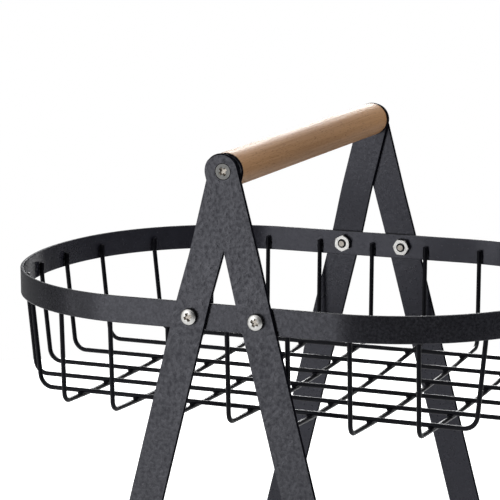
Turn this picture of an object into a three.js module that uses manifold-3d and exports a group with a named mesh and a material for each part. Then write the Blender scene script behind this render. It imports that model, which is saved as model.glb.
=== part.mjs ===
// Two-tier wire fruit basket: two oval wire baskets bolted between a pair of A-frames of flat bar,
// with a wooden dowel across the top as the carrying handle.
// Millimetres, +Z up. X runs along the long axis of the ovals, Y along the handle.
// The origin is on the table, midway between the four feet. The back is +Y and the front is -Y.
import * as THREE from "three";
import { mergeVertices } from "three/addons/utils/BufferGeometryUtils.js";
import Module from "manifold-3d";

const wasm = await Module();
wasm.setup();

// Heights: the floor of the lower basket above the table, the tiers, and the handle.
const floorClearance = 11.8;
const tierPitch = 200;
const boltsToHandleScrew = 82.1;

// Flat bars of the A-frames, and how far below the handle screw their centre lines cross.
const barWidth = 20;
const barThickness = 1.8;
const barAngle = THREE.MathUtils.degToRad(14.36);
const crossDrop = 3.6;

// Wooden handle, between the inner bars.
const handleLength = 235;
const handleDiameter = 20;
const handleEdgeRound = 1.2;

// Oval bands: straight sides, corner arcs, and gently bowed ends that sweep this angle either side of X.
const upperLength = 346.7;
const upperWidth = 242;
const lowerLength = 386;
const lowerWidth = 247;
const upperCorner = 108.5;
const lowerCornerShare = 0.281; // of the length, so that the bolts stay on the straight
const endSweep = THREE.MathUtils.degToRad(17.2);
const bandHeight = 15.5;
const bandThickness = 1.8;

// Wire cage: nearly upright sides, ends that lean in to the floor, and a floor that sags in the middle.
const wireDiameter = 2.8;
const longWires = 6;
const longPitch = 33.8;
const upperCrossWires = 7;
const upperCrossPitch = 36.2;
const lowerCrossWires = 8;
const lowerCrossPitch = 35.6;
const floorDrop = 64;
const floorBow = 3.6;
const endLean = THREE.MathUtils.degToRad(5.5);
const sideLean = THREE.MathUtils.degToRad(2);
const crossBend = 6;
const longBend = 8;
const weldReach = 9;

// Fasteners: pan-head bolts through the bands, and countersunk screws into the handle.
const shankDiameter = 4.8;
const shankClearance = 0.25;
const headDiameter = 9.4;
const headHeight = 3;
const headRimHeight = 1.7;
const sunkDiameter = 9;
const recessLength = 5.4;
const recessWidth = 1.4;
const recessDepth = 1.8;
const nutAcrossFlats = 9.5;
const nutHeight = 3.2;
const boltProud = 1;
const tipChamfer = 0.6;
const screwInWood = 22;
const boreRunout = 2;

// Pieces that bear on each other keep this gap.
const seatGap = 0.2;

// Facets.
const ovalSegments = 7;
const roundSegments = 16;
const handleSegments = 32;
const wireSides = 8;
const bendSteps = 4;
const sagSteps = 3;
const domeSteps = 3;

// Levels that follow from the sizes above.
const wireRadius = wireDiameter / 2;
const lowerBoltHeight = floorClearance + wireRadius + floorDrop;
const upperBoltHeight = lowerBoltHeight + tierPitch;
const handleHeight = upperBoltHeight + boltsToHandleScrew;
const crossHeight = handleHeight - crossDrop;
const holeRadius = shankDiameter / 2 + shankClearance;
const outsideOfBars = handleLength / 2 + 2 * (seatGap + barThickness);
const upperOutline = { length: upperLength, width: upperWidth, corner: upperCorner };
const lowerOutline = { length: lowerLength, width: lowerWidth, corner: lowerLength * lowerCornerShare };

const coatedBar = { color: 0x4b4b4e, roughness: 0.62, metalness: 0.3 };
const coatedBand = { color: 0x2e2e31, roughness: 0.55, metalness: 0.3 };
const coatedWire = { color: 0x1b1b1d, roughness: 0.45, metalness: 0.3 };
const oiledWood = { color: 0x9a7552, roughness: 0.55, metalness: 0 };
const brightSteel = { color: 0xc9cacc, roughness: 0.28, metalness: 1 };

const basket = new THREE.Group();
const back = new THREE.Group();
const front = new THREE.Group();
front.scale.y = -1;
basket.add(back, front);

function place(parent, name, geometry, finish) {
  const mesh = new THREE.Mesh(geometry, new THREE.MeshStandardMaterial(finish));
  mesh.name = name;
  parent.add(mesh);
}

// A closed three.js geometry as a solid that can be joined and cut.
function solidOf(geometry) {
  const bare = geometry.clone();
  bare.deleteAttribute("normal");
  bare.deleteAttribute("uv");
  const merged = mergeVertices(bare, 1e-4);
  return new wasm.Manifold(
    new wasm.Mesh({
      numProp: 3,
      vertProperties: new Float32Array(merged.attributes.position.array),
      triVerts: new Uint32Array(merged.index.array),
    }),
  );
}

function geometryOf(solid) {
  const mesh = solid.getMesh();
  const geometry = new THREE.BufferGeometry();
  geometry.setAttribute("position", new THREE.BufferAttribute(mesh.vertProperties, 3));
  geometry.setIndex(new THREE.BufferAttribute(mesh.triVerts, 1));
  geometry.computeVertexNormals();
  return geometry;
}

// How far from the middle plane a bar's centre line is at a height.
function barOffset(height) {
  return (crossHeight - height) * Math.tan(barAngle);
}

// A bar seen from the front: a round top, a foot cut level with the table, and three bolt holes.
function barFace(side) {
  const lean = side * barAngle;
  const half = barWidth / 2;
  const across = new THREE.Vector2(Math.cos(lean), Math.sin(lean));
  const top = new THREE.Vector2(-crossDrop * Math.tan(lean), handleHeight);
  const footAt = (edge) => {
    const start = top.clone().addScaledVector(across, edge * half);
    return start.x + start.y * Math.tan(lean);
  };
  const shape = new THREE.Shape();
  shape.moveTo(footAt(-1), 0);
  shape.lineTo(footAt(1), 0);
  shape.absarc(top.x, top.y, half, lean, lean + Math.PI, false);
  shape.closePath();
  const holes = [
    [0, handleHeight],
    [side * barOffset(upperBoltHeight), upperBoltHeight],
    [side * barOffset(lowerBoltHeight), lowerBoltHeight],
  ];
  for (const [x, height] of holes) {
    shape.holes.push(new THREE.Path().absarc(x, height, holeRadius, 0, 2 * Math.PI, true));
  }
  return shape;
}

// A bar seen from the end: flat at the handle until the bars part, then eased out to lie flat on each band.
function barProfile(outer) {
  const atHandle = handleLength / 2 + seatGap + (outer ? barThickness + seatGap : 0);
  const atUpper = upperWidth / 2 + seatGap;
  const atLower = lowerWidth / 2 + seatGap;
  const fork = crossHeight - barWidth / 2 / Math.sin(barAngle) - barThickness;
  const flat = bandHeight / 2;
  const inside = [
    [atHandle, handleHeight + barWidth],
    [atHandle, fork],
    [atUpper, upperBoltHeight + flat],
    [atUpper, upperBoltHeight - flat],
    [atLower, lowerBoltHeight + flat],
    [atLower, -barWidth],
  ];
  const outside = inside.map(([y, z]) => [y + barThickness, z]).reverse();
  return new THREE.Shape([...inside, ...outside].map(([y, z]) => new THREE.Vector2(y, z)));
}

function bar(side, outer) {
  const reach = lowerLength;
  const face = new THREE.ExtrudeGeometry(barFace(side), {
    depth: reach,
    bevelEnabled: false,
    curveSegments: roundSegments / 2,
  });
  face.rotateX(Math.PI / 2);
  face.translate(0, reach, 0);
  const profile = new THREE.ExtrudeGeometry(barProfile(outer), { depth: reach, bevelEnabled: false });
  const turn = new THREE.Matrix4().makeBasis(
    new THREE.Vector3(0, 1, 0),
    new THREE.Vector3(0, 0, 1),
    new THREE.Vector3(1, 0, 0),
  );
  profile.applyMatrix4(turn);
  profile.translate(-reach / 2, 0, 0);
  const blank = solidOf(face).intersect(solidOf(profile));
  return geometryOf(outer ? blank.subtract(solidOf(screwSink())) : blank);
}

// The countersink for a handle screw: a right-angled cone that opens outwards.
function screwSink() {
  const mouth = sunkDiameter / 2 + seatGap * Math.SQRT2;
  const depth = 2 * barThickness;
  const cone = new THREE.CylinderGeometry(mouth + depth, mouth - depth, 2 * depth, roundSegments);
  return cone.translate(0, outsideOfBars, handleHeight);
}

// The centres and radii of an oval's arcs, drawn in from the outside of the band by an inset.
function ovalArcs({ length, width, corner }, inset) {
  const cornerY = width / 2 - corner;
  const cornerX = length / 2 - corner - cornerY * Math.tan(endSweep / 2);
  return {
    cornerX,
    cornerY,
    cornerRadius: corner - inset,
    endX: cornerX - cornerY / Math.tan(endSweep),
    endRadius: corner + cornerY / Math.sin(endSweep) - inset,
  };
}

function ovalShape(outline, inset) {
  const oval = ovalArcs(outline, inset);
  const right = Math.PI / 2;
  const shape = new THREE.Shape();
  for (const turn of [0, Math.PI]) {
    const side = Math.cos(turn);
    shape.absarc(side * oval.endX, 0, oval.endRadius, turn - endSweep, turn + endSweep, false);
    const corner = [oval.cornerX, oval.cornerY].map((value) => side * value);
    shape.absarc(corner[0], corner[1], oval.cornerRadius, turn + endSweep, turn + right, false);
    shape.absarc(-corner[0], corner[1], oval.cornerRadius, turn + right, turn + 2 * right - endSweep, false);
  }
  shape.closePath();
  return shape;
}

// Half the oval's width at a distance along it, and half its length at a distance across it.
function ovalHalfWidth(oval, x) {
  const along = Math.abs(x);
  if (along <= oval.cornerX) return oval.cornerY + oval.cornerRadius;
  const join = oval.cornerX + oval.cornerRadius * Math.cos(endSweep);
  if (along <= join) return oval.cornerY + Math.sqrt(oval.cornerRadius ** 2 - (along - oval.cornerX) ** 2);
  return Math.sqrt(oval.endRadius ** 2 - (along - oval.endX) ** 2);
}

function ovalHalfLength(oval, y) {
  const across = Math.abs(y);
  const join = oval.cornerY + oval.cornerRadius * Math.sin(endSweep);
  if (across <= join) return oval.endX + Math.sqrt(oval.endRadius ** 2 - across ** 2);
  return oval.cornerX + Math.sqrt(oval.cornerRadius ** 2 - (across - oval.cornerY) ** 2);
}

function band(outline, boltHeight) {
  const shape = ovalShape(outline, 0);
  shape.holes.push(ovalShape(outline, bandThickness));
  const ring = new THREE.ExtrudeGeometry(shape, {
    depth: bandHeight,
    bevelEnabled: false,
    curveSegments: ovalSegments,
  });
  ring.translate(0, 0, boltHeight - bandHeight / 2);
  let solid = solidOf(ring);
  for (const x of [-barOffset(boltHeight), barOffset(boltHeight)]) {
    const drill = new THREE.CylinderGeometry(holeRadius, holeRadius, 2 * outline.width, roundSegments);
    drill.translate(x, 0, boltHeight);
    solid = solid.subtract(solidOf(drill));
  }
  return geometryOf(solid);
}

// A wire's centre line through stations that lie close in the bends and far apart on the straights.
class WireLine extends THREE.Curve {
  constructor(stations) {
    super();
    this.stations = stations;
  }

  getPointAt(u, target = new THREE.Vector3()) {
    return target.copy(this.stations[Math.round(u * (this.stations.length - 1))]);
  }

  getTangentAt(u, target = new THREE.Vector3()) {
    const last = this.stations.length - 1;
    const here = Math.round(u * last);
    const before = this.stations[Math.max(here - 1, 0)];
    const after = this.stations[Math.min(here + 1, last)];
    return target.subVectors(after, before).normalize();
  }
}

// A wire bent to a U: down the band, along the wall, round the bend and across the floor.
// reach is half the span at the band, lean is how far the wall is from upright, and floorAt gives the height
// of the floor at a distance from the middle, in floorSteps to each side of it, or none where it is level.
function wireStations(reach, boltHeight, lean, bendRadius, floorAt, floorSteps) {
  const bandFoot = boltHeight - bandHeight / 2;
  const floor = floorAt(reach - bendRadius);
  const tangent = (bendRadius * (1 - Math.sin(lean))) / Math.cos(lean);
  const bendX = reach - (bandFoot - floor) * Math.tan(lean) - tangent;
  const half = [
    [reach, bandFoot + weldReach],
    [reach, bandFoot],
  ];
  for (let step = 0; step <= bendSteps; step++) {
    const angle = -THREE.MathUtils.lerp(lean, Math.PI / 2, step / bendSteps);
    half.push([bendX + bendRadius * Math.cos(angle), floor + bendRadius * (1 + Math.sin(angle))]);
  }
  for (let step = 1; step < floorSteps; step++) {
    const distance = bendX * (1 - step / floorSteps);
    half.push([distance, floorAt(distance)]);
  }
  const middle = floorSteps > 0 ? [[0, floorAt(0)]] : [];
  const mirrored = half.map(([distance, height]) => [-distance, height]).reverse();
  return [...half, ...middle, ...mirrored];
}

function wire(points) {
  const section = [];
  for (let side = 0; side < wireSides; side++) {
    const angle = (2 * Math.PI * side) / wireSides;
    section.push(new THREE.Vector2(wireRadius * Math.cos(angle), wireRadius * Math.sin(angle)));
  }
  return new THREE.ExtrudeGeometry(new THREE.Shape(section), {
    extrudePath: new WireLine(points),
    steps: points.length - 1,
    bevelEnabled: false,
  });
}

function spread(count, pitch) {
  return Array.from({ length: count }, (_, index) => (index - (count - 1) / 2) * pitch);
}

// One basket: the band, the cross wires under the floor and the long wires that lie on them.
function wireBasket(tier, outline, boltHeight, crossWires, crossPitch) {
  place(basket, `${tier}_rim`, band(outline, boltHeight), coatedBand);
  const seat = ovalArcs(outline, bandThickness + seatGap + wireRadius);
  const floorAt = (y) => boltHeight - floorDrop + floorBow * (y / (outline.width / 2)) ** 2;
  spread(crossWires, crossPitch).forEach((x, index) => {
    const reach = ovalHalfWidth(seat, x);
    const stations = wireStations(reach, boltHeight, sideLean, crossBend, floorAt, sagSteps);
    const path = stations.map(([y, z]) => new THREE.Vector3(x, y, z));
    place(basket, `${tier}_cross_wire_${index + 1}`, wire(path), coatedWire);
  });
  spread(longWires, longPitch).forEach((y, index) => {
    const reach = ovalHalfLength(seat, y);
    const level = floorAt(y) + wireDiameter + seatGap;
    const stations = wireStations(reach, boltHeight, endLean, longBend, () => level, 0);
    const path = stations.map(([x, z]) => new THREE.Vector3(x, y, z));
    place(basket, `${tier}_long_wire_${index + 1}`, wire(path), coatedWire);
  });
}

// A fastener along Y from its tip up to its head, with a cross recess in the top of the head.
function fastener(tip, head) {
  const shank = shankDiameter / 2;
  const top = head[head.length - 1][1];
  const profile = [[0, tip], [shank - tipChamfer, tip], [shank, tip + tipChamfer], ...head];
  const body = new THREE.LatheGeometry(profile.map(([r, y]) => new THREE.Vector2(r, y)), roundSegments);
  const slot = new THREE.BoxGeometry(recessLength, 2 * recessDepth, recessWidth);
  const cross = new THREE.BoxGeometry(recessWidth, 2 * recessDepth, recessLength);
  slot.translate(0, top, 0);
  cross.translate(0, top, 0);
  return geometryOf(solidOf(body).subtract(solidOf(slot).add(solidOf(cross))));
}

// A pan head, domed, with its underside at seat.
function panHead(seat) {
  const radius = headDiameter / 2;
  const head = [[shankDiameter / 2, seat], [radius, seat]];
  for (let step = 0; step < domeSteps; step++) {
    const angle = (Math.PI / 2) * (step / domeSteps);
    const rise = headRimHeight + (headHeight - headRimHeight) * Math.sin(angle);
    head.push([radius * Math.cos(angle), seat + rise]);
  }
  return [...head, [0, seat + headHeight]];
}

// A countersunk head, flat, with its top at level.
function sunkHead(level) {
  const radius = sunkDiameter / 2;
  return [[shankDiameter / 2, level - radius + shankDiameter / 2], [radius, level], [0, level]];
}

function hexNut(seat) {
  const corner = nutAcrossFlats / 2 / Math.cos(Math.PI / 6);
  const outline = [];
  for (let side = 0; side < 6; side++) {
    const angle = (Math.PI / 3) * side;
    outline.push(new THREE.Vector2(corner * Math.cos(angle), corner * Math.sin(angle)));
  }
  const shape = new THREE.Shape(outline);
  shape.holes.push(new THREE.Path().absarc(0, 0, holeRadius, 0, 2 * Math.PI, true));
  const nut = new THREE.ExtrudeGeometry(shape, {
    depth: nutHeight,
    bevelEnabled: false,
    curveSegments: roundSegments / 2,
  });
  nut.rotateX(Math.PI / 2);
  nut.translate(0, seat, 0);
  return nut;
}

// The bolts and nuts that hold one band to the bars of one A-frame.
function bandFasteners(group, where, tier, width, boltHeight) {
  const headSeat = width / 2 + seatGap + barThickness + seatGap;
  const nutSeat = width / 2 - bandThickness - seatGap;
  const tip = nutSeat - nutHeight - boltProud;
  for (const side of [-1, 1]) {
    const label = `${where}_${side < 0 ? "left" : "right"}`;
    const x = side * barOffset(boltHeight);
    const bolt = fastener(tip, panHead(headSeat)).translate(x, 0, boltHeight);
    const nut = hexNut(nutSeat).translate(x, 0, boltHeight);
    place(group, `${tier}_bolt_${label}`, bolt, brightSteel);
    place(group, `${tier}_nut_${label}`, nut, brightSteel);
  }
}

// The dowel, with a blind bore in each end for its screw.
function handle() {
  const bore = screwInWood + boreRunout;
  const radius = handleDiameter / 2;
  const half = [];
  for (let step = 0; step <= domeSteps; step++) {
    const angle = (Math.PI / 2) * (step / domeSteps);
    const r = radius - handleEdgeRound * (1 - Math.cos(angle));
    half.push([r, handleLength / 2 - handleEdgeRound * (1 - Math.sin(angle))]);
  }
  half.push([holeRadius, handleLength / 2]);
  half.push([holeRadius, handleLength / 2 - bore], [0, handleLength / 2 - bore]);
  const mirrored = half.map(([r, y]) => [r, -y]).reverse();
  const profile = [...mirrored, ...half].map(([r, y]) => new THREE.Vector2(r, y));
  return new THREE.LatheGeometry(profile, handleSegments).translate(0, 0, handleHeight);
}

place(basket, "handle", handle(), oiledWood);
wireBasket("upper", upperOutline, upperBoltHeight, upperCrossWires, upperCrossPitch);
wireBasket("lower", lowerOutline, lowerBoltHeight, lowerCrossWires, lowerCrossPitch);
for (const [group, where] of [
  [front, "front"],
  [back, "back"],
]) {
  place(group, `leg_${where}_left`, bar(-1, false), coatedBar);
  place(group, `leg_${where}_right`, bar(1, true), coatedBar);
  const screw = fastener(handleLength / 2 - screwInWood, sunkHead(outsideOfBars));
  place(group, `handle_screw_${where}`, screw.translate(0, 0, handleHeight), brightSteel);
  bandFasteners(group, where, "upper", upperWidth, upperBoltHeight);
  bandFasteners(group, where, "lower", lowerWidth, lowerBoltHeight);
}

export default basket;
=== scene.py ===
import math

import bmesh
import bpy
from mathutils import Matrix, Vector


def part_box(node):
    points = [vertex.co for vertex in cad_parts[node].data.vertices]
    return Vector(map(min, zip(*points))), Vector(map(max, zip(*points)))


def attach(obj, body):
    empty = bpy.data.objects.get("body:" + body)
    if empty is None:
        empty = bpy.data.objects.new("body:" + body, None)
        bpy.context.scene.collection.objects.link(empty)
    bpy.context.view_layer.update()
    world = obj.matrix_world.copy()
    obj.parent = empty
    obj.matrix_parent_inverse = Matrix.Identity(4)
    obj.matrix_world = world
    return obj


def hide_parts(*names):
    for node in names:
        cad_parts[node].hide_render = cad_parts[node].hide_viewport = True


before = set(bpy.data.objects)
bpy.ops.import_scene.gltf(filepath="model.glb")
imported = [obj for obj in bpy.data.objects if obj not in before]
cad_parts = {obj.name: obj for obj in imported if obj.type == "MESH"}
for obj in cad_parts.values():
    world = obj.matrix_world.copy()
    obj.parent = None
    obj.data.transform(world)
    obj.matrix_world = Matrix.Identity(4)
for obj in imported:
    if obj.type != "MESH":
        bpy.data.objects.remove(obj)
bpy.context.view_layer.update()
print("frame loaded,", len(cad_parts), "nodes")

scene = bpy.context.scene
scene.view_settings.view_transform = "Standard"

handleLow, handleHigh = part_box("handle")
upperRimLow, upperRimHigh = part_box("upper_rim")
lowerRimLow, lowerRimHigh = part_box("lower_rim")
handleHeight = (handleLow.z + handleHigh.z) / 2
seatGap = .0002  # between pieces that bear on each other
mergeGap = 1e-7  # corners closer than this become one
layDown = Matrix.Rotation(math.radians(-90), 4, "X")  # turns a shape's Z axis to Y


def startFinish(name):
    finish = bpy.data.materials.new(name)
    finish.use_nodes = True
    nodes, links = finish.node_tree.nodes, finish.node_tree.links
    place = nodes.new("ShaderNodeTexCoord").outputs["Object"]
    return finish, nodes, links, nodes["Principled BSDF"], place


def noiseOn(nodes, links, place, scale, detail, stretch=(1, 1, 1), warp=0.0):
    turn = nodes.new("ShaderNodeMapping")
    turn.inputs["Scale"].default_value = stretch
    links.new(place, turn.inputs["Vector"])
    noise = nodes.new("ShaderNodeTexNoise")
    noise.inputs["Scale"].default_value = scale
    noise.inputs["Detail"].default_value = detail
    noise.inputs["Distortion"].default_value = warp
    links.new(turn.outputs["Vector"], noise.inputs["Vector"])
    return noise.outputs["Fac"]


def spreadTo(nodes, links, value, low, high, fromLow=0.3, fromHigh=0.7):
    ranged = nodes.new("ShaderNodeMapRange")
    ranged.inputs["From Min"].default_value = fromLow
    ranged.inputs["From Max"].default_value = fromHigh
    ranged.inputs["To Min"].default_value = low
    ranged.inputs["To Max"].default_value = high
    links.new(value, ranged.inputs["Value"])
    return ranged.outputs["Result"]


def mixColours(nodes, links, share, first, second):
    mix = nodes.new("ShaderNodeMix")
    mix.data_type = "RGBA"
    links.new(share, mix.inputs[0])
    for socket, value in ((mix.inputs[6], first), (mix.inputs[7], second)):
        if isinstance(value, bpy.types.NodeSocket):
            links.new(value, socket)
        else:
            socket.default_value = (*value, 1)
    return mix.outputs[2]


def scaleColour(nodes, links, colour, amount):
    scaled = nodes.new("ShaderNodeVectorMath")
    scaled.operation = "SCALE"
    links.new(colour, scaled.inputs[0])
    links.new(amount, scaled.inputs["Scale"])
    return scaled.outputs["Vector"]


# how far back a point lies
def depthOf(nodes, links, place):
    sides = nodes.new("ShaderNodeSeparateXYZ")
    links.new(place, sides.inputs[0])
    return sides.outputs["Y"]


def addBump(nodes, links, shader, height, strength, distance):
    bump = nodes.new("ShaderNodeBump")
    bump.inputs["Strength"].default_value = strength
    bump.inputs["Distance"].default_value = distance
    links.new(height, bump.inputs["Height"])
    links.new(bump.outputs["Normal"], shader.inputs["Normal"])
    return bump


# what all the coats share: grain and clouds, and the depths between which
# the coat gets smoother towards the back and bluer there, as painted shade
coatShared = dict(
    grainDetail=3.0, cloudDetail=2.0, grainDepth=.25, tint=(.88, .89, 1),
    paintedShadeFront=-.11, paintedShadeBack=.11, backBump=.35)


# powder coat: a dark ground with fine sandy grains and slow cloudy patches, fading to a painted bluish
# shade at the back
def powderCoat(name, look):
    finish, nodes, links, shader, place = startFinish(name)
    grains = noiseOn(nodes, links, place, 1 / look["grainSize"], coatShared["grainDetail"])
    clouds = noiseOn(nodes, links, place, 1 / look["cloudSize"], coatShared["cloudDetail"])
    depth = depthOf(nodes, links, place)
    front, back = coatShared["paintedShadeFront"], coatShared["paintedShadeBack"]
    speckle = spreadTo(nodes, links, grains, 0, 1)
    mixed = mixColours(nodes, links, speckle, look["dark"], look["light"])
    # painted shade: towards the back the coat fades to its back colour, which is bluer and mostly darker
    backShadeShare = spreadTo(nodes, links, depth, 0, 1, front, back)
    ground = mixColours(nodes, links, backShadeShare, mixed, look["back"])
    patch = spreadTo(nodes, links, clouds, 1 - look["patchy"], 1 + look["patchy"])
    links.new(scaleColour(nodes, links, ground, patch), shader.inputs["Base Color"])
    rougher, smoother = look["rough"] + look["spread"], look["rough"] - look["spread"]
    links.new(spreadTo(nodes, links, grains, rougher, smoother), shader.inputs["Roughness"])
    shader.inputs["Specular IOR Level"].default_value = look["gloss"]
    shader.inputs["Specular Tint"].default_value = (*coatShared["tint"], 1)
    grainDepth = look["grainSize"] * coatShared["grainDepth"]
    bump = addBump(nodes, links, shader, grains, look["bump"], grainDepth)
    backBump = look["bump"] * coatShared["backBump"]
    strength = spreadTo(nodes, links, depth, look["bump"], backBump, front, back)
    links.new(strength, bump.inputs["Strength"])
    return finish


# each coat's back colour is a painted bluish shade for the parts at the back
barCoat = powderCoat("barCoat", dict(
    dark=(.0005, .0005, .003), light=(.070, .070, .078), back=(.011, .011, .0168),
    grainSize=.0023, cloudSize=.009, patchy=.16, rough=.32, spread=.08, gloss=.46, bump=.7))
# painted shade: the near-black coat for the rounded edges and the sides of the bars
barSideShadeCoat = powderCoat("barSideShadeCoat", dict(
    dark=(.002, .002, .004), light=(.006, .006, .009), back=(.003, .003, .006),
    grainSize=.0014, cloudSize=.012, patchy=.1, rough=.6, spread=.05, gloss=.02, bump=.2))
bandCoat = powderCoat("bandCoat", dict(
    dark=(.0005, .0005, .002), light=(.040, .040, .047), back=(.018, .018, .0262),
    grainSize=.0016, cloudSize=.010, patchy=.16, rough=.23, spread=.05, gloss=.40, bump=.14))
# painted light: a lighter grey for the band's top and bottom faces, standing in for the light they catch
bandLitEdgeCoat = powderCoat("bandLitEdgeCoat", dict(
    dark=(.06, .06, .065), light=(.10, .10, .105), back=(.08, .08, .088),
    grainSize=.0014, cloudSize=.012, patchy=.1, rough=.6, spread=.05, gloss=.02, bump=.2))
wireCoat = powderCoat("wireCoat", dict(
    dark=(.0008, .0008, .0016), light=(.002, .002, .004), back=(.001, .001, .002),
    grainSize=.0007, cloudSize=.02, patchy=.2, rough=.4, spread=.05, gloss=.13, bump=.15))


# oiled beech: long streaks and short flecks that run along the dowel, which lies along Y,
# lighter towards both ends as painted light, against a slightly darker middle
woodLook = dict(
    pale=(.400, .217, .099), deep=(.285, .143, .061), fleck=(.155, .074, .030),
    streakWidth=.0015, streakLength=.08, streakDetail=4.0, streakWarp=0.6,
    broadScale=0.35, broadDetail=2.0, broadWarp=0.3, broadLow=.15, broadHigh=.6,
    fleckWidth=.0004, fleckLength=.0045, fleckDetail=1.0, fleckShare=.7, fleckLow=.57, fleckHigh=.72,
    rough=.6, rougher=.08, smoother=.05, gloss=.3, bump=.1, bumpDepth=.0003,
    middleLevel=.96, ends=1.12, endLightFrom=.02, endLightTo=.10)


def woodFinish(look):
    finish, nodes, links, shader, place = startFinish("oiledBeech")
    long = (1 / look["streakWidth"], 1 / look["streakLength"], 1 / look["streakWidth"])
    short = (1 / look["fleckWidth"], 1 / look["fleckLength"], 1 / look["fleckWidth"])
    streaks = noiseOn(nodes, links, place, 1.0, look["streakDetail"], long, look["streakWarp"])
    broad = noiseOn(nodes, links, place, look["broadScale"], look["broadDetail"], long, look["broadWarp"])
    flecks = noiseOn(nodes, links, place, 1.0, look["fleckDetail"], short)
    body = mixColours(nodes, links, spreadTo(nodes, links, streaks, 0, 1), look["deep"], look["pale"])
    wash = spreadTo(nodes, links, broad, look["broadLow"], look["broadHigh"])
    tint = mixColours(nodes, links, wash, body, look["pale"])
    marks = spreadTo(nodes, links, flecks, 0, look["fleckShare"], look["fleckLow"], look["fleckHigh"])
    grain = mixColours(nodes, links, marks, tint, look["fleck"])
    along = nodes.new("ShaderNodeMath")
    along.operation = "ABSOLUTE"
    links.new(depthOf(nodes, links, place), along.inputs[0])
    # painted light: the colour gets lighter towards both ends of the dowel
    paintedEndLight = spreadTo(
        nodes, links, along.outputs[0], look["middleLevel"], look["ends"], look["endLightFrom"], look["endLightTo"])
    links.new(scaleColour(nodes, links, grain, paintedEndLight), shader.inputs["Base Color"])
    rougher, smoother = look["rough"] + look["rougher"], look["rough"] - look["smoother"]
    links.new(spreadTo(nodes, links, streaks, rougher, smoother), shader.inputs["Roughness"])
    shader.inputs["Specular IOR Level"].default_value = look["gloss"]
    addBump(nodes, links, shader, streaks, look["bump"], look["bumpDepth"])
    return finish


oiledBeech = woodFinish(woodLook)


zincShared = dict(
    cloudScale=700, cloudDetail=3.0, markScale=2600, markDetail=2.0,
    shade=.8, smoother=.06, rougher=.1, bump=.1, bumpDepth=.0001)


# zinc plate with a faint cloudiness and fine handling marks
def zincFinish(name, colour, rough):
    finish, nodes, links, shader, place = startFinish(name)
    look = zincShared
    clouds = noiseOn(nodes, links, place, look["cloudScale"], look["cloudDetail"])
    marks = noiseOn(nodes, links, place, look["markScale"], look["markDetail"])
    shade = tuple(part * look["shade"] for part in colour)
    cloudy = mixColours(nodes, links, spreadTo(nodes, links, clouds, 0, 1), shade, colour)
    links.new(cloudy, shader.inputs["Base Color"])
    marked = spreadTo(nodes, links, marks, rough - look["smoother"], rough + look["rougher"])
    links.new(marked, shader.inputs["Roughness"])
    shader.inputs["Metallic"].default_value = 1
    addBump(nodes, links, shader, marks, look["bump"], look["bumpDepth"])
    return finish


brightZinc = zincFinish("brightZinc", (.56, .555, .54), .32)  # bolt heads and nuts
greyZinc = zincFinish("greyZinc", (.13, .13, .126), .4)  # handle screws
# painted shade: a darker, warmer zinc in the recesses and on the ends of the bolts
recessShadeZinc = zincFinish("recessShadeZinc", (.40, .37, .33), .42)  # recesses and the ends of the bolts
# painted shade: near-black zinc on the sides of heads and nuts and on the tapered tips
paintedShadeZinc = zincFinish("paintedShadeZinc", (.03, .03, .032), .5)  # sides of heads and nuts, tapered tips
print("finishes made")


def cornersIn(parts):
    return [part for part in parts if isinstance(part, bmesh.types.BMVert)]


def edgesIn(parts):
    return [part for part in parts if isinstance(part, bmesh.types.BMEdge)]


# draws an open row or ring of edges on along a straight
def pullOn(bm, ring, move):
    made = bmesh.ops.extrude_edge_only(bm, edges=ring)["geom"]
    fresh = cornersIn(made)
    bmesh.ops.translate(bm, verts=fresh, vec=move)
    fresh = set(fresh)
    return [edge for edge in edgesIn(made) if all(vert in fresh for vert in edge.verts)]


# takes it round a bend
def turnOn(bm, ring, centre, axis, angle, steps):
    corners = list({vert for edge in ring for vert in edge.verts})
    made = bmesh.ops.spin(
        bm, geom=corners + ring, cent=centre, axis=axis, dvec=(0, 0, 0), angle=angle, steps=steps)
    return edgesIn(made["geom_last"])


# closes both ends of a tube, with a rounded cut where a rounding is given
def closeEnds(bm, rounding=0, steps=2):
    mouths = [edge for edge in bm.edges if edge.is_boundary]
    made = bmesh.ops.holes_fill(bm, edges=mouths, sides=0)["faces"]
    rims = list({edge for face in made for edge in face.edges})
    if rounding:
        bmesh.ops.bevel(
            bm, geom=rims, offset=rounding, segments=steps, profile=.5, affect="EDGES", material=-1)


# bars are drawn at the back, and those at the front are their mirror image
def mirrorFront(bm, where):
    if where == "front":
        bmesh.ops.scale(bm, verts=bm.verts, vec=(1, -1, 1))


# mesh of a finished bmesh; turning or mirroring is done before this
def meshOf(bm, name):
    bmesh.ops.remove_doubles(bm, verts=bm.verts, dist=mergeGap)
    bmesh.ops.recalc_face_normals(bm, faces=bm.faces)
    mesh = bpy.data.meshes.new(name)
    bm.to_mesh(mesh)
    bm.free()
    return mesh


# edges sharper than the crease, in degrees, stay sharp in the shading
def finishPiece(mesh, name, finishes, crease, nodes=()):
    mesh.shade_smooth()
    mesh.set_sharp_from_angle(angle=math.radians(crease))
    for finish in finishes:
        mesh.materials.append(finish)
    piece = bpy.data.objects.new(name, mesh)
    scene.collection.objects.link(piece)
    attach(piece, "root")
    if nodes:
        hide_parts(*nodes)


# cuts one mesh with another, or keeps what they share
def cutMesh(mesh, cutter, operation):
    blank = bpy.data.objects.new("blank", mesh)
    tool = bpy.data.objects.new("tool", cutter)
    for thing in (blank, tool):
        scene.collection.objects.link(thing)
    cut = blank.modifiers.new("cut", "BOOLEAN")
    cut.object, cut.operation, cut.solver = tool, operation, "EXACT"
    bpy.context.view_layer.update()
    depsgraph = bpy.context.evaluated_depsgraph_get()
    made = bpy.data.meshes.new_from_object(blank.evaluated_get(depsgraph))
    for thing in (blank, tool):
        bpy.data.objects.remove(thing)
    return made


handleShape = dict(sides=72, rings=24, rounding=.0012, roundSteps=4, crease=10)


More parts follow.
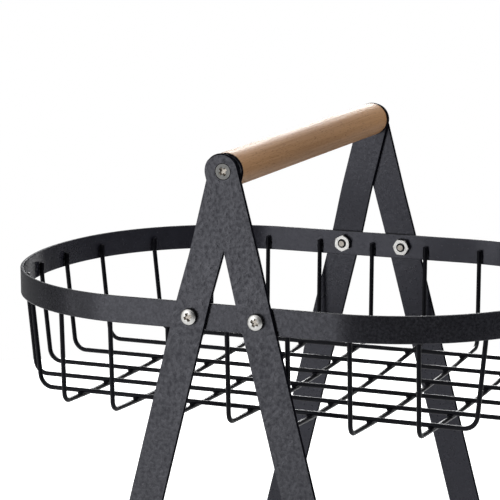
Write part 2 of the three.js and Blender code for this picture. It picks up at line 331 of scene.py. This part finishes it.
def makeHandle(shape):
    bm = bmesh.new()
    radius = (handleHigh.z - handleLow.z) / 2
    lie = Matrix.Translation((0, handleLow.y, handleHeight)) @ layDown
    bmesh.ops.create_circle(bm, radius=radius, segments=shape["sides"], matrix=lie)
    ring = bm.edges[:]
    for step in range(shape["rings"]):
        ring = pullOn(bm, ring, (0, (handleHigh.y - handleLow.y) / shape["rings"], 0))
    closeEnds(bm, shape["rounding"], shape["roundSteps"])
    mesh = meshOf(bm, "handleDowel")
    finishPiece(mesh, "handleDowel", [oiledBeech], shape["crease"], ["handle"])


makeHandle(handleShape)
print("handle made")


barShape = dict(
    width=.020, thickness=.0018, lean=math.radians(14.36), crossDrop=.0036, rowStep=.006,
    ease=.005, easeShifts=(-1, -.5, 0, .5, 1), roundSteps=20, onLine=1e-6, crease=12,
    edgeRound=.0007, edgeSteps=3, edgeAngle=math.radians(60), crispFacing=-.8,
    sideFacing=-.5, flatFacing=.97, sink=.00472, sinkSides=48)
crossHeight = handleHeight - barShape["crossDrop"]
fork = crossHeight - barShape["width"] / 2 / math.sin(barShape["lean"]) - barShape["thickness"]


# inside face of a bar at a height: flat at the handle, eased out to lie on each band
def barDepth(height, outer, shape):
    atHandle = handleHigh.y + seatGap + (shape["thickness"] + seatGap if outer else 0)
    atUpper, atLower = upperRimHigh.y + seatGap, lowerRimHigh.y + seatGap
    stops = [  # the first and last lie well past the ends of the bar
        (-1, atLower), (lowerRimHigh.z, atLower),
        (upperRimLow.z, atUpper), (upperRimHigh.z, atUpper),
        (fork, atHandle), (1, atHandle)]
    for (low, start), (high, end) in zip(stops, stops[1:]):
        if height <= high:
            return start + (end - start) * (height - low) / (high - low)


# cone that opens outwards from a handle screw
def screwSink(where, shape):
    bm = bmesh.new()
    deep = 2 * shape["thickness"]
    face = handleHigh.y + 2 * (seatGap + shape["thickness"])
    lie = Matrix.Translation((0, face, handleHeight)) @ layDown
    bmesh.ops.create_cone(
        bm, cap_ends=True, segments=shape["sinkSides"], radius1=shape["sink"] - deep,
        radius2=shape["sink"] + deep, depth=2 * deep, matrix=lie)
    mirrorFront(bm, where)
    mesh = meshOf(bm, "sink")
    # the cone's faces, cut into the bar, take the near-black side coat as painted shade
    mesh.materials.append(barSideShadeCoat)
    return mesh


def makeBar(where, hand, side, outer, shape):
    bm = bmesh.new()
    lean, half, onLine = side * shape["lean"], shape["width"] / 2, shape["onLine"]
    top = Vector((-shape["crossDrop"] * math.tan(lean), 0, handleHeight))
    across = Vector((math.cos(lean), 0, math.sin(lean)))
    down = Vector((math.sin(lean), 0, -math.cos(lean)))
    hub, tip = bm.verts.new(top), bm.verts.new(top + across * half)
    spoke = bm.edges.new((hub, tip))
    bmesh.ops.spin(
        bm, geom=[hub, tip, spoke], cent=top, axis=(0, -1, 0), angle=math.pi, steps=shape["roundSteps"])
    bmesh.ops.remove_doubles(bm, verts=bm.verts, dist=onLine)
    row = [edge for edge in bm.edges
           if all(abs((vert.co - top).dot(down)) < onLine for vert in edge.verts)]
    for step in range(math.ceil((handleHeight + half) / math.cos(lean) / shape["rowStep"])):
        row = pullOn(bm, row, down * shape["rowStep"])
    bmesh.ops.bisect_plane(
        bm, geom=bm.verts[:] + bm.edges[:] + bm.faces[:], plane_co=(0, 0, 0), plane_no=(0, 0, 1),
        clear_inner=True)
    for vert in bm.verts:
        heights = [vert.co.z + shift * shape["ease"] for shift in shape["easeShifts"]]
        near = [barDepth(height, outer, shape) for height in heights]
        vert.co.y = sum(near) / len(near)
    made = bmesh.ops.extrude_face_region(bm, geom=bm.faces[:])["geom"]
    bmesh.ops.translate(bm, verts=cornersIn(made), vec=(0, shape["thickness"], 0))
    bmesh.ops.recalc_face_normals(bm, faces=bm.faces)
    corners = [edge for edge in bm.edges if edge.calc_face_angle(0) > shape["edgeAngle"]]
    rounded = [edge for edge in corners
               if min(face.normal.x for face in edge.link_faces) >= shape["crispFacing"]]
    bmesh.ops.bevel(
        bm, geom=rounded, offset=shape["edgeRound"], segments=shape["edgeSteps"], profile=.5,
        affect="EDGES", material=-1)
    bm.normal_update()
    # painted shade: the rounded edges and the sides, except those facing left, take the near-black coat
    for face in bm.faces:
        plain = face.normal.x < shape["sideFacing"] or abs(face.normal.y) > shape["flatFacing"]
        face.material_index = 0 if plain else 1
    mirrorFront(bm, where)
    name = "leg" + where.title() + hand.title()
    mesh = meshOf(bm, name)
    for finish in (barCoat, barSideShadeCoat):
        mesh.materials.append(finish)
    if outer:
        mesh = cutMesh(mesh, screwSink(where, shape), "DIFFERENCE")
    finishPiece(mesh, name, [], shape["crease"], [f"leg_{where}_{hand}"])


for where in ("front", "back"):
    makeBar(where, "left", -1, False, barShape)
    makeBar(where, "right", 1, True, barShape)
print("bars made")


bandShape = dict(
    thickness=.0018, sweep=math.radians(17.2), cornerSteps=22, endSteps=8, joinGap=1e-5,
    edgeRound=.0005, edgeSteps=3, edgeFacing=.5, crease=10)
lowerCorner = .281 * (lowerRimHigh.x - lowerRimLow.x)  # a share of the length
tiers = dict(
    upper=dict(low=upperRimLow, high=upperRimHigh, corner=.1085, crossWires=7, longWires=6),
    lower=dict(low=lowerRimLow, high=lowerRimHigh, corner=lowerCorner, crossWires=8, longWires=6))


# centres of the arcs that make up a band's outline
def ovalOf(tier):
    cornerY = tier["high"].y - tier["corner"]
    cornerX = tier["high"].x - tier["corner"] - cornerY * math.tan(bandShape["sweep"] / 2)
    return cornerX, cornerY, cornerX - cornerY / math.tan(bandShape["sweep"])


# which way the band faces at a point on it
def bandFacing(tier, x, y):
    cornerX, cornerY, endX = ovalOf(tier)
    if abs(x) <= cornerX:
        return Vector((0, math.copysign(1, y), 0))
    if abs(y) <= (abs(x) - endX) * math.tan(bandShape["sweep"]):
        return Vector((x - math.copysign(endX, x), y, 0)).normalized()
    return Vector((x - math.copysign(cornerX, x), y - math.copysign(cornerY, y), 0)).normalized()


def makeBand(tierName, tier, shape):
    bm = bmesh.new()
    cornerX, cornerY, endX = ovalOf(tier)
    height = tier["high"].z - tier["low"].z
    middle = (tier["high"].z + tier["low"].z) / 2
    start = Matrix.Translation((tier["high"].x - shape["thickness"] / 2, 0, middle))
    stand = start @ Matrix.Rotation(math.radians(90), 4, "X")
    size = Matrix.Diagonal((shape["thickness"], height, 1, 1))
    quarter = Matrix.Rotation(math.radians(45), 4, "Z")
    section = bmesh.ops.create_circle(
        bm, cap_ends=True, radius=math.sqrt(.5), segments=4, matrix=stand @ size @ quarter)["verts"]
    bmesh.ops.bevel(
        bm, geom=section, offset=shape["edgeRound"], segments=shape["edgeSteps"], profile=.5,
        affect="VERTICES", material=-1)
    bmesh.ops.delete(bm, geom=bm.faces[:], context="FACES_ONLY")
    ring, up = bm.edges[:], (0, 0, 1)
    sweep, corner = shape["sweep"], math.pi / 2 - shape["sweep"]
    ring = turnOn(bm, ring, (endX, 0, 0), up, sweep, shape["endSteps"])
    ring = turnOn(bm, ring, (cornerX, cornerY, 0), up, corner, shape["cornerSteps"])
    ring = pullOn(bm, ring, (-2 * cornerX, 0, 0))
    ring = turnOn(bm, ring, (-cornerX, cornerY, 0), up, corner, shape["cornerSteps"])
    ring = turnOn(bm, ring, (-endX, 0, 0), up, 2 * sweep, 2 * shape["endSteps"])
    ring = turnOn(bm, ring, (-cornerX, -cornerY, 0), up, corner, shape["cornerSteps"])
    ring = pullOn(bm, ring, (2 * cornerX, 0, 0))
    ring = turnOn(bm, ring, (cornerX, -cornerY, 0), up, corner, shape["cornerSteps"])
    turnOn(bm, ring, (endX, 0, 0), up, sweep, shape["endSteps"])
    bmesh.ops.remove_doubles(bm, verts=bm.verts, dist=shape["joinGap"])
    bm.normal_update()
    # painted light: faces that point up or down take the lighter edge coat
    for face in bm.faces:
        face.material_index = 1 if abs(face.normal.z) > shape["edgeFacing"] else 0
    name, finishes = tierName + "Band", [bandCoat, bandLitEdgeCoat]
    finishPiece(meshOf(bm, name), name, finishes, shape["crease"], [tierName + "_rim"])


for tierName, tier in tiers.items():
    makeBand(tierName, tier, bandShape)
print("bands made")


wireShape = dict(
    radius=.0014, sides=14, endRound=.0004, easeSteps=2, bendSteps=9, sagSteps=20, crease=50,
    cross=dict(lean=math.radians(2), bend=.006, sag=.0036),
    long=dict(lean=math.radians(5.5), bend=.008, sag=0))


# one wire bent to a U in the YZ plane: down the band, leaning in, round the bend and across the floor
def bentWire(bm, reach, top, foot, floor, sag, lean, bend):
    radius, axis = wireShape["radius"], (1, 0, 0)
    easeSteps, bendSteps = wireShape["easeSteps"], wireShape["bendSteps"]
    slope = 2 * math.atan(sag / (reach - bend)) if sag else 0
    drop = foot - bend * (math.cos(slope) - math.sin(lean)) - (floor + sag)
    wall = drop / math.cos(lean)
    bmesh.ops.create_circle(
        bm, radius=radius, segments=wireShape["sides"], matrix=Matrix.Translation((0, -reach, top)))
    ring = bm.edges[:]
    ring = pullOn(bm, ring, (0, 0, foot - top))
    ring = turnOn(bm, ring, (0, -reach + 2 * radius, foot), axis, lean, easeSteps)
    start = -reach + 2 * radius * (1 - math.cos(lean))
    low = foot - 2 * radius * math.sin(lean)
    run = wall - 2 * radius * math.sin(lean) / math.cos(lean)
    ring = pullOn(bm, ring, (0, run * math.sin(lean), -run * math.cos(lean)))
    start, low = start + run * math.sin(lean), low - run * math.cos(lean)
    centre = (0, start + bend * math.cos(lean), low + bend * math.sin(lean))
    ring = turnOn(bm, ring, centre, axis, math.pi / 2 - lean - slope, bendSteps)
    start += bend * (math.cos(lean) - math.sin(slope))
    low -= bend * (math.cos(slope) - math.sin(lean))
    if slope:
        arm = -start / math.sin(slope)
        hang = (0, 0, low + arm * math.cos(slope))
        ring = turnOn(bm, ring, hang, axis, 2 * slope, wireShape["sagSteps"])
    else:
        ring = pullOn(bm, ring, (0, -2 * start, 0))
    ring = turnOn(bm, ring, (0, -centre[1], centre[2]), axis, math.pi / 2 - lean - slope, bendSteps)
    ring = pullOn(bm, ring, (0, run * math.sin(lean), run * math.cos(lean)))
    ring = turnOn(bm, ring, (0, reach - 2 * radius, foot), axis, lean, easeSteps)
    pullOn(bm, ring, (0, 0, top - foot))
    closeEnds(bm, wireShape["endRound"])


def makeWires(tierName, tier, shape):
    sideways = Matrix.Rotation(math.radians(-90), 4, "Z")  # turns a wire from Y to X
    for kind in ("cross", "long"):
        bends = shape[kind]
        for index in range(1, tier[kind + "Wires"] + 1):
            node = f"{tierName}_{kind}_wire_{index}"
            low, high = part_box(node)
            if kind == "cross":
                reach = high.y - shape["radius"]
                place = Matrix.Translation(((low.x + high.x) / 2, 0, 0))
            else:
                reach = high.x - shape["radius"]
                place = Matrix.Translation((0, (low.y + high.y) / 2, 0)) @ sideways
            sag = bends["sag"] * ((reach - bends["bend"]) / tier["high"].y) ** 2
            floor = low.z + shape["radius"]
            bm = bmesh.new()
            bentWire(bm, reach, high.z, tier["low"].z, floor, sag, bends["lean"], bends["bend"])
            bmesh.ops.transform(bm, matrix=place, verts=bm.verts)
            name = f"{tierName}{kind.title()}Wire{index}"
            finishPiece(meshOf(bm, name), name, [wireCoat], shape["crease"], [node])


for tierName, tier in tiers.items():
    makeWires(tierName, tier, wireShape)
print("wires made")


# welds: a coated bead at each crossing in the floor and behind each wire end on the band
weldShape = dict(
    crossing=(.0022, .0022, .0010), seam=(.0023, .0011, .0034), seamLift=.0045,
    bendClear=.006, sides=8, rings=5, crease=180)


def addBead(bm, size, place):
    bmesh.ops.create_uvsphere(
        bm, u_segments=weldShape["sides"], v_segments=weldShape["rings"], radius=1,
        matrix=place @ Matrix.Diagonal((*size, 1)))


def addSeams(bm, tier, spots):
    for x, y in spots:
        facing = bandFacing(tier, x, y)
        spot = Vector((x, y, tier["low"].z + weldShape["seamLift"]))
        spot += facing * (wireShape["radius"] + seatGap / 2)
        turn = Matrix.Rotation(math.atan2(facing.y, facing.x) - math.pi / 2, 4, "Z")
        addBead(bm, weldShape["seam"], Matrix.Translation(spot) @ turn)


def makeWelds(tierName, tier, shape):
    bm = bmesh.new()
    crosses = [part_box(f"{tierName}_cross_wire_{index}") for index in range(1, tier["crossWires"] + 1)]
    longs = [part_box(f"{tierName}_long_wire_{index}") for index in range(1, tier["longWires"] + 1)]
    radius = wireShape["radius"]
    for crossLow, crossHigh in crosses:
        x = (crossLow.x + crossHigh.x) / 2
        endY = crossHigh.y - wireShape["cross"]["bend"]
        for longLow, longHigh in longs:
            y, contact = (longLow.y + longHigh.y) / 2, longLow.z - seatGap / 2
            endX = longHigh.x - wireShape["long"]["bend"] - shape["bendClear"]
            if abs(y) < endY and abs(x) < endX:
                addBead(bm, shape["crossing"], Matrix.Translation((x, y, contact)))
        addSeams(bm, tier, [(x, crossHigh.y - radius), (x, radius - crossHigh.y)])
    for longLow, longHigh in longs:
        y = (longLow.y + longHigh.y) / 2
        addSeams(bm, tier, [(longHigh.x - radius, y), (radius - longHigh.x, y)])
    name = tierName + "WeldBeads"
    finishPiece(meshOf(bm, name), name, [wireCoat], shape["crease"])


for tierName, tier in tiers.items():
    makeWelds(tierName, tier, weldShape)
print("welds made")


# turns are in degrees, and each bolt head stands at an angle of its own
boltShape = dict(
    head=.0047, headHeight=.0030, rim=.0017, shank=.0024, tipTaper=.0006, tipLength=.001,
    sunkHead=.0045, sunkEdge=.00015, sides=40, domeSteps=9, sideFacing=.75, crease=35,
    recessLength=.0068, recessWidth=.0026, recessDepth=.0014, recessTaper=.5,
    screwTurn=38, firstTurn=20, nextTurn=47)
nutShape = dict(
    acrossFlats=.0095, height=.0032, hole=.00252, flare=.0004, chamfer=.0005,
    flatShare=.97, cornerShare=1.05, lensOver=.0001, lensSides=48, boreOver=.001, boreSides=32,
    sideFacing=.75, crease=8, turns=dict(left=4, right=33))


# turns a line of moves from a starting corner into a solid round the Y axis
def turned(bm, end, moves, steps):
    for moveX, moveY in moves:
        end = bmesh.ops.extrude_vert_indiv(bm, verts=[end])["verts"][0]
        end.co += Vector((moveX, moveY, 0))
    bmesh.ops.spin(
        bm, geom=bm.verts[:] + bm.edges[:], cent=(0, 0, 0), axis=(0, 1, 0), angle=2 * math.pi,
        steps=steps, use_merge=True)


def shankMoves(length, shape):
    taper = shape["tipTaper"]
    return [(0, taper - length), (-taper, -taper), (taper - shape["shank"], 0)]


# cross recess: a cube drawn out to four arms, narrower at the bottom
def cutRecess(mesh, top, finish, shape):
    bm = bmesh.new()
    bmesh.ops.create_cube(bm, size=shape["recessWidth"])
    arms = [face for face in bm.faces if abs(face.normal.y) < .5]
    reach = (shape["recessLength"] - shape["recessWidth"]) / 2
    for face in bmesh.ops.extrude_discrete_faces(bm, faces=arms)["faces"]:
        bmesh.ops.translate(bm, verts=face.verts[:], vec=face.normal * reach)
    bmesh.ops.scale(bm, verts=bm.verts, vec=(1, 2 * shape["recessDepth"] / shape["recessWidth"], 1))
    foot = [vert for vert in bm.verts if vert.co.y < 0]
    bmesh.ops.scale(bm, verts=foot, vec=(shape["recessTaper"], 1, shape["recessTaper"]))
    bmesh.ops.translate(bm, verts=bm.verts, vec=(0, top, 0))
    cutter = meshOf(bm, "recess")
    # the recess walls take the darker zinc as painted shade
    cutter.materials.append(recessShadeZinc)
    mesh.materials.append(finish)
    mesh.materials.append(recessShadeZinc)
    return cutMesh(mesh, cutter, "DIFFERENCE")


# pan head up along +Y with its underside at 0, shank down to the tip
def boltMesh(length, shape):
    bm = bmesh.new()
    corner = bm.verts.new((shape["head"], 0, 0))
    dome = bmesh.ops.spin(
        bm, geom=[corner], cent=(0, 0, 0), axis=(0, 0, 1), angle=math.pi / 2, steps=shape["domeSteps"])
    bmesh.ops.scale(bm, verts=bm.verts, vec=(1, (shape["headHeight"] - shape["rim"]) / shape["head"], 1))
    bmesh.ops.translate(bm, verts=bm.verts, vec=(0, shape["rim"], 0))
    for vert in cornersIn(dome["geom_last"]):
        vert.co.x = 0
    neck = [(0, -shape["rim"]), (shape["shank"] - shape["head"], 0)]
    turned(bm, corner, neck + shankMoves(length, shape), shape["sides"])
    return cutRecess(meshOf(bm, "bolt"), shape["headHeight"], brightZinc, shape)


# countersunk head with its flat top at 0
def screwMesh(length, shape):
    bm = bmesh.new()
    edge, cone = shape["sunkEdge"], shape["sunkHead"] - shape["shank"]
    head = [(shape["sunkHead"] - edge, 0), (edge, -edge), (-cone, -cone)]
    shank = shankMoves(length - cone - edge, shape)
    turned(bm, bm.verts.new((0, 0, 0)), head + shank, shape["sides"])
    return cutRecess(meshOf(bm, "screw"), 0, greyZinc, shape)


def nutMesh(shape):
    bm = bmesh.new()
    corner = shape["acrossFlats"] / 2 / math.cos(math.pi / 6)
    bmesh.ops.create_circle(bm, radius=corner, segments=6, matrix=layDown)
    pullOn(bm, bm.edges[:], (0, -shape["height"], 0))
    closeEnds(bm)
    blank = meshOf(bm, "hexBlank")
    lens = bmesh.new()  # turned outline that rounds the six corners off
    flat, wide = shape["acrossFlats"] / 2 * shape["flatShare"], corner * shape["cornerShare"]
    chamfer, over = shape["chamfer"], shape["lensOver"]
    sides = [(flat, 0), (wide - flat, -chamfer - over), (0, 2 * chamfer - shape["height"]),
             (flat - wide, -chamfer - over), (-flat, 0)]
    turned(lens, lens.verts.new((0, over, 0)), sides, shape["lensSides"])
    blank = cutMesh(blank, meshOf(lens, "lens"), "INTERSECT")
    bore = bmesh.new()  # through hole with flared mouths
    hole, flare, over = shape["hole"], shape["flare"], shape["boreOver"]
    sides = [(hole + flare + over, 0), (-flare - over, -flare - over), (0, 2 * flare - shape["height"]),
             (flare + over, -flare - over), (-hole - flare - over, 0)]
    turned(bore, bore.verts.new((0, over, 0)), sides, shape["boreSides"])
    return cutMesh(blank, meshOf(bore, "bore"), "DIFFERENCE")


# turns a fastener about its own axis and sets it at its seat, facing out at the front or the back;
# its sides take the last finish, a painted shade, and the end of its shank the second, a darker zinc that
# is also painted shade
def setFastener(pattern, name, node, seat, where, turn, finishes, shape):
    stand = Matrix.Rotation(math.pi if where == "front" else 0, 4, "Z")
    place = Matrix.Translation(seat) @ stand @ Matrix.Rotation(math.radians(turn), 4, "Y")
    bm = bmesh.new()
    bm.from_mesh(pattern)
    tip = min(vert.co.y for vert in bm.verts)
    for face in bm.faces:
        if face.material_index == 0 and abs(face.normal.y) < shape["sideFacing"]:
            face.material_index = len(finishes) - 1
        elif "tipLength" in shape and face.calc_center_median().y < tip + shape["tipLength"]:
            face.material_index = 1
    bmesh.ops.transform(bm, matrix=place, verts=bm.verts)
    mesh = bpy.data.meshes.new(name)
    bm.to_mesh(mesh)
    bm.free()
    finishPiece(mesh, name, finishes, shape["crease"], [node])


def makeFasteners(bolts, nuts):
    nut, turn, headHeight = nutMesh(nuts), bolts["firstTurn"], bolts["headHeight"]
    screwFinishes = [greyZinc, recessShadeZinc, paintedShadeZinc]
    boltFinishes, nutFinishes = [brightZinc, recessShadeZinc, paintedShadeZinc], [brightZinc, paintedShadeZinc]
    for where, sign in (("front", -1), ("back", 1)):
        low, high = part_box("handle_screw_" + where)
        top = Vector((0, sign * max(abs(low.y), abs(high.y)), handleHeight))
        screw = screwMesh(high.y - low.y, bolts)
        name, node = "handleScrew" + where.title(), "handle_screw_" + where
        setFastener(screw, name, node, top, where, bolts["screwTurn"], screwFinishes, bolts)
        for tierName in tiers:
            for hand in ("left", "right"):
                ending = f"{where}_{hand}"
                low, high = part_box(f"{tierName}_bolt_{ending}")
                nutLow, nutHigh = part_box(f"{tierName}_nut_{ending}")
                out = max(abs(low.y), abs(high.y)) - headHeight
                seat = Vector(((low.x + high.x) / 2, sign * out, (low.z + high.z) / 2))
                bolt = boltMesh((high.y - low.y) - headHeight, bolts)
                side = where.title() + hand.title()
                name, node = tierName + "Bolt" + side, f"{tierName}_bolt_{ending}"
                setFastener(bolt, name, node, seat, where, turn, boltFinishes, bolts)
                seat.y = sign * max(abs(nutLow.y), abs(nutHigh.y))
                name, node = tierName + "Nut" + side, f"{tierName}_nut_{ending}"
                setFastener(nut, name, node, seat, where, nuts["turns"][hand], nutFinishes, nuts)
                turn += bolts["nextTurn"]


makeFasteners(boltShape, nutShape)
print("fasteners made")


stageLook = dict(
    floorColour=(.86, .86, .86), floorSize=1.0, floorSides=128, floorDrop=.0002, floorRough=.9,
    floorGloss=.1, floorLift=.68, ambient=.2)


# 1 for rays that come from the camera, straight or by way of a shiny or clear surface
def cameraShare(nodes, links):
    path = nodes.new("ShaderNodeLightPath")
    first = nodes.new("ShaderNodeMath")
    second = nodes.new("ShaderNodeMath")
    for node in (first, second):
        node.operation = "MAXIMUM"
    links.new(path.outputs["Is Camera Ray"], first.inputs[0])
    links.new(path.outputs["Is Glossy Ray"], first.inputs[1])
    links.new(first.outputs[0], second.inputs[0])
    links.new(path.outputs["Is Transmission Ray"], second.inputs[1])
    return second.outputs[0]


def makeFloor(look):
    bm = bmesh.new()
    bmesh.ops.create_circle(bm, cap_ends=True, radius=look["floorSize"], segments=look["floorSides"])
    mesh = meshOf(bm, "floor")
    floor = bpy.data.objects.new("floor", mesh)
    scene.collection.objects.link(floor)
    finish = bpy.data.materials.new("paleFloor")
    finish.use_nodes = True
    nodes, links = finish.node_tree.nodes, finish.node_tree.links
    shader = nodes["Principled BSDF"]
    shader.inputs["Base Color"].default_value = (*look["floorColour"], 1)
    shader.inputs["Roughness"].default_value = look["floorRough"]
    shader.inputs["Specular IOR Level"].default_value = look["floorGloss"]
    shader.inputs["Emission Color"].default_value = (1, 1, 1, 1)
    lift = nodes.new("ShaderNodeMath")
    lift.operation = "MULTIPLY"
    lift.inputs[1].default_value = look["floorLift"]
    links.new(cameraShare(nodes, links), lift.inputs[0])
    links.new(lift.outputs[0], shader.inputs["Emission Strength"])
    mesh.materials.append(finish)
    floor.location.z = -look["floorDrop"]


def makeWorld(look):
    world = bpy.data.worlds.new("studio")
    scene.world = world
    world.use_nodes = True
    nodes, links = world.node_tree.nodes, world.node_tree.links
    background = nodes["Background"]
    background.inputs["Color"].default_value = (1, 1, 1, 1)
    level = nodes.new("ShaderNodeMapRange")
    level.inputs["To Min"].default_value = look["ambient"]
    level.inputs["To Max"].default_value = 1
    links.new(cameraShare(nodes, links), level.inputs["Value"])
    links.new(level.outputs["Result"], background.inputs["Strength"])


# dark cards round the stage, unseen by the camera, so that the coat keeps its contrast
cardShape = dict(radius=2.4, low=-1.6, high=2.2, steps=24)
cards = dict(
    rightCard=dict(start=-12, end=75, tone=.09),
    backCard=dict(start=75, end=168, tone=.2),
    leftCard=dict(start=-150, end=-68, tone=.42))


def makeCard(name, start, end, tone, shape):
    bm = bmesh.new()
    low = bm.verts.new((0, -shape["radius"], shape["low"]))
    high = bm.verts.new((0, -shape["radius"], shape["high"]))
    edge = bm.edges.new((low, high))
    turn = Matrix.Rotation(math.radians(start), 3, "Z")
    bmesh.ops.rotate(bm, verts=bm.verts, cent=(0, 0, 0), matrix=turn)
    bmesh.ops.spin(
        bm, geom=[low, high, edge], cent=(0, 0, 0), axis=(0, 0, 1), angle=math.radians(end - start),
        steps=shape["steps"])
    mesh = meshOf(bm, name)
    card = bpy.data.objects.new(name, mesh)
    scene.collection.objects.link(card)
    finish = bpy.data.materials.new("darkCloth")
    finish.use_nodes = True
    shader = finish.node_tree.nodes["Principled BSDF"]
    shader.inputs["Base Color"].default_value = (tone, tone, tone, 1)
    shader.inputs["Roughness"].default_value = 1
    shader.inputs["Specular IOR Level"].default_value = 0
    mesh.materials.append(finish)
    card.visible_camera = False


lampAim = (0, 0, .25)
lamps = dict(
    frontLeft=dict(azimuth=-28.1, elevation=4, distance=1.6, width=.87, height=1.5, level=.288),
    overhead=dict(
        azimuth=112, elevation=54, distance=1.9, width=1.4, height=1.4, level=.6, colour=(.96, .98, 1)),
    rear=dict(azimuth=199, elevation=19, distance=2.2, width=.65, height=1.05, level=.98))


# a soft box; white paper that faces it shows the level
def softBox(name, azimuth, elevation, distance, width, height, level, colour=(1, 1, 1)):
    light = bpy.data.lights.new(name, "AREA")
    light.shape = "RECTANGLE"
    light.size, light.size_y = width, height
    light.color = colour
    light.energy = level * math.pi ** 2 * distance ** 2
    lamp = bpy.data.objects.new(name, light)
    scene.collection.objects.link(lamp)
    a, e = math.radians(azimuth), math.radians(elevation)
    back = Vector((math.sin(a) * math.cos(e), -math.cos(a) * math.cos(e), math.sin(e)))
    lamp.location = Vector(lampAim) + back * distance
    lamp.rotation_euler = back.to_track_quat("Z", "Y").to_euler()


cameraShape = dict(
    place=(.50222, -1.26706, .55026), aim=(-.03567, 0, .29213), azimuth=23.0022, roll=-.33216,
    lens=166.75, sensor=36)


def makeCamera(shape):
    data = bpy.data.cameras.new("camera")
    data.sensor_fit, data.sensor_width, data.lens = "HORIZONTAL", shape["sensor"], shape["lens"]
    camera = bpy.data.objects.new("camera", data)
    scene.collection.objects.link(camera)
    azimuth, roll = math.radians(shape["azimuth"]), math.radians(shape["roll"])
    back = (Vector(shape["place"]) - Vector(shape["aim"])).normalized()
    level = Vector((math.cos(azimuth), math.sin(azimuth), 0))
    right = level * math.cos(roll) + back.cross(level) * math.sin(roll)
    axes = Matrix((right, back.cross(right), back)).transposed()
    camera.matrix_world = Matrix.Translation(shape["place"]) @ axes.to_4x4()
    scene.camera = camera


makeFloor(stageLook)
makeWorld(stageLook)
for name, card in cards.items():
    makeCard(name, **card, shape=cardShape)
for name, lamp in lamps.items():
    softBox(name, **lamp)
makeCamera(cameraShape)
print("stage, light and camera made")
